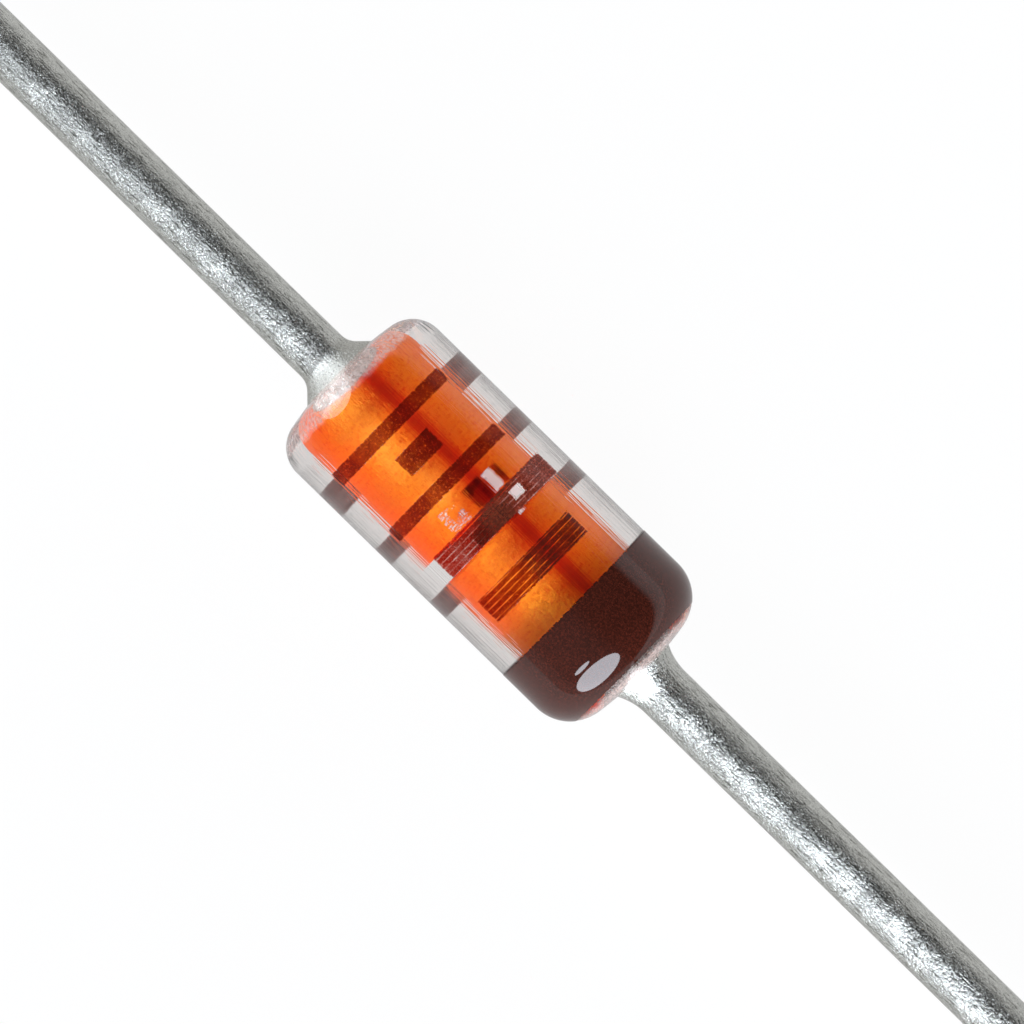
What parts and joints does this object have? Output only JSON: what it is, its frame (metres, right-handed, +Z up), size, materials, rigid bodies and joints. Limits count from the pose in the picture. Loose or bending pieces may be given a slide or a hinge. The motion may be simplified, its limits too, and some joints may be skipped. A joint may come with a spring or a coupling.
{
  "type": "axial glass diode",
  "caption": "Small glass-bodied diode with a clear sealed sleeve over orange slugs, a dark cathode band and straight tinned leads along one axis.",
  "frame": {"origin": "middle of the glass body, on its axis", "axes": "+X along the leads towards the banded cathode end; +Z up through the middle of the printed bars"},
  "size_m": [0.056, 0.0018, 0.0018],
  "materials": {
    "clear_glass": "clear, fire-polished",
    "slug_copper": "orange oxide-coated copper, drawn surface",
    "silicon": "sawn silicon, glossy",
    "silver": "plated silver, bright",
    "tinned_wire": "tinned, drawn lengthwise",
    "band_ink": "dark brown paint, gloss",
    "mark_ink": "dark brown print, thin and speckled"
  },
  "bodies": {
    "root": {"glass_envelope": "clear_glass", "anode_slug": "slug_copper", "cathode_slug": "slug_copper", "silicon_die": "silicon", "silver_bump": "silver", "anode_lead": "tinned_wire", "cathode_lead": "tinned_wire", "cathode_band": "band_ink", "ink_marks": "mark_ink"}
  },
  "joints": []
}
